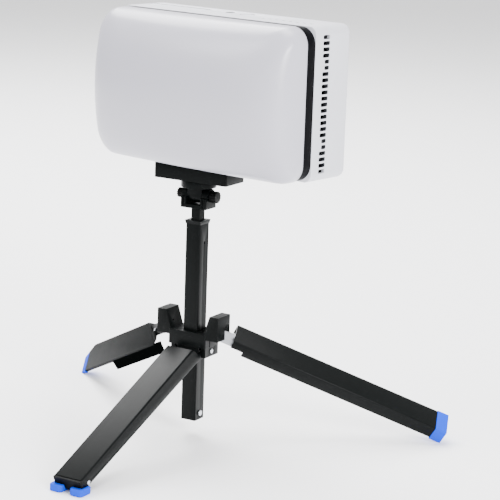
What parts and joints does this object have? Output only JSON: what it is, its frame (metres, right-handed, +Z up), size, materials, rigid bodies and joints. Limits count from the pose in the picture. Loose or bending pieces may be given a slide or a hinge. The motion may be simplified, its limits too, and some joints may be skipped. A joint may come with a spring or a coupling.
{
  "type": "led panel light",
  "caption": "Compact LED panel light with a domed diffuser on a small folding tripod with a square column, a tilting head and rubber feet.",
  "frame": {"origin": "bottom centre of the whole object's bounding box, on the ground", "axes": "+Z up, the light faces -Y, +X along the light's width"},
  "size_m": [0.2638, 0.2384, 0.2567],
  "materials": {
    "body_white": "satin",
    "diffuser_milky": "satin translucent",
    "frame_black": "matte",
    "grey_trim": "matte",
    "dark_plastic": "matte",
    "dark_glass": "gloss",
    "magnet_steel": "nickel",
    "brass_insert": "plain",
    "clear_sheet": "frosted",
    "white_reflector": "satin",
    "board_white": "solder mask",
    "board_green": "solder mask",
    "led_yellow": "phosphor",
    "sink_aluminium": "extruded",
    "battery_wrap": "film",
    "port_steel": "stamped",
    "screw_steel": "black zinc",
    "tripod_black": "satin black anodised",
    "head_black": "satin black",
    "pad_rubber": "matte",
    "knob_black": "satin",
    "pin_steel": "polished ends",
    "link_steel": "satin",
    "liner_black": "matte",
    "foot_blue": "matte"
  },
  "bodies": {
    "hub": {"hub_block": "tripod_black", "front_rivets": "pin_steel", "side_pins": "pin_steel"},
    "front_leg": {"front_leg_channel": "tripod_black", "front_end_block": "liner_black", "front_foot_pins": "pin_steel", "front_feet": "foot_blue"},
    "right_leg": {"right_leg_shell": "tripod_black", "right_leg_link": "link_steel", "right_leg_core": "liner_black", "right_leg_rivets": "pin_steel", "right_foot": "foot_blue"},
    "left_leg": {"left_leg_shell": "tripod_black", "left_leg_link": "tripod_black", "left_leg_core": "liner_black", "left_leg_rivets": "pin_steel", "left_foot": "foot_blue", "left_leg_lip": "tripod_black"},
    "column": {"column_tube": "tripod_black", "column_plug": "liner_black", "column_pin": "pin_steel", "column_collar": "tripod_black"},
    "stem": {"stem_tube": "tripod_black", "stem_glide": "liner_black", "head_base": "head_black"},
    "head": {"tilt_block": "head_black", "tilt_pin": "pin_steel", "left_knob": "knob_black", "quick_plate": "head_black", "plate_pad": "pad_rubber", "plate_stud": "pin_steel"},
    "tilt_lock_knob": {"right_knob": "knob_black"},
    "light": {"body_shell": "body_white", "body_magnets": "magnet_steel", "top_trim": "grey_trim", "tripod_socket": "brass_insert", "side_socket": "brass_insert", "light_window": "clear_sheet", "reflector_tray": "white_reflector", "led_board": "board_white", "led_emitters": "led_yellow", "heatsink": "sink_aluminium", "fan_housing": "dark_plastic", "battery_pack": "battery_wrap", "main_board": "board_green", "usb_c_port": "port_steel", "display_window": "dark_glass", "display_module": "dark_plastic", "cover_screws": "screw_steel", "rear_cover": "body_white"},
    "diffuser": {"diffuser_dome": "diffuser_milky", "diffuser_frame": "frame_black", "diffuser_magnets": "magnet_steel"},
    "fan": {"fan_rotor": "dark_plastic"},
    "brightness_wheel": {"brightness_dial": "dark_plastic"},
    "colour_wheel": {"colour_dial": "dark_plastic"},
    "power_key": {"power_button": "dark_plastic"},
    "mode_key": {"mode_button": "grey_trim"},
    "menu_key": {"menu_button": "dark_plastic"},
    "back_key": {"back_button": "dark_plastic"}
  },
  "joints": [
    {"name": "front_leg_fold", "type": "hinge", "parent": "hub", "child": "front_leg", "pos_m": [0.0087, 0.012, 0.0547], "axis": [0.9866, 0.1633, 0], "range_deg": [0, 64]},
    {"name": "right_leg_fold", "type": "hinge", "parent": "hub", "child": "right_leg", "pos_m": [0.02576, 0.01305, 0.0667], "axis": [-0.6909, 0.723, 0], "range_deg": [0, 64]},
    {"name": "left_leg_fold", "type": "hinge", "parent": "hub", "child": "left_leg", "pos_m": [-0.00779, 0.0075, 0.0667], "axis": [-0.421, -0.907, 0], "range_deg": [0, 35]},
    {"name": "column_slide", "type": "slide", "parent": "hub", "child": "column", "axis": [0, 0, 1], "range_m": [-0.008, 0.034]},
    {"name": "stem_slide", "type": "slide", "parent": "column", "child": "stem", "axis": [0, 0, 1], "range_m": [-0.005, 0.07]},
    {"name": "head_tilt", "type": "hinge", "parent": "stem", "child": "head", "pos_m": [0.0087, 0.012, 0.1489], "axis": [0.9866, 0.1633, 0], "range_deg": [-60, 60]},
    {"name": "tilt_lock_turn", "type": "hinge", "parent": "head", "child": "tilt_lock_knob", "pos_m": [0.02054, 0.01396, 0.1489], "axis": [0.9866, 0.1633, 0], "continuous": true},
    {"name": "light_turn", "type": "hinge", "parent": "head", "child": "light", "pos_m": [0.0087, 0.017, 0.1687], "axis": [0, 0, 1], "continuous": true},
    {"name": "diffuser_pull", "type": "slide", "parent": "light", "child": "diffuser", "axis": [0, -1, 0], "range_m": [0, 0.06]},
    {"name": "fan_spin", "type": "hinge", "parent": "light", "child": "fan", "pos_m": [0.0427, 0.037, 0.2127], "axis": [0, 1, 0], "continuous": true},
    {"name": "brightness_turn", "type": "hinge", "parent": "light", "child": "brightness_wheel", "pos_m": [0.0667, 0.04, 0.2267], "axis": [0, 1, 0], "continuous": true},
    {"name": "colour_turn", "type": "hinge", "parent": "light", "child": "colour_wheel", "pos_m": [0.0667, 0.04, 0.1987], "axis": [0, 1, 0], "continuous": true},
    {"name": "power_press", "type": "slide", "parent": "light", "child": "power_key", "axis": [0, 0, -1], "range_m": [0, 0.0008], "stiffness_N_per_m": 600},
    {"name": "mode_press", "type": "slide", "parent": "light", "child": "mode_key", "axis": [0, 0, -1], "range_m": [0, 0.0008], "stiffness_N_per_m": 600},
    {"name": "menu_press", "type": "slide", "parent": "light", "child": "menu_key", "axis": [0, -1, 0], "range_m": [0, 0.0008], "stiffness_N_per_m": 600},
    {"name": "back_press", "type": "slide", "parent": "light", "child": "back_key", "axis": [0, -1, 0], "range_m": [0, 0.0008], "stiffness_N_per_m": 600}
  ]
}
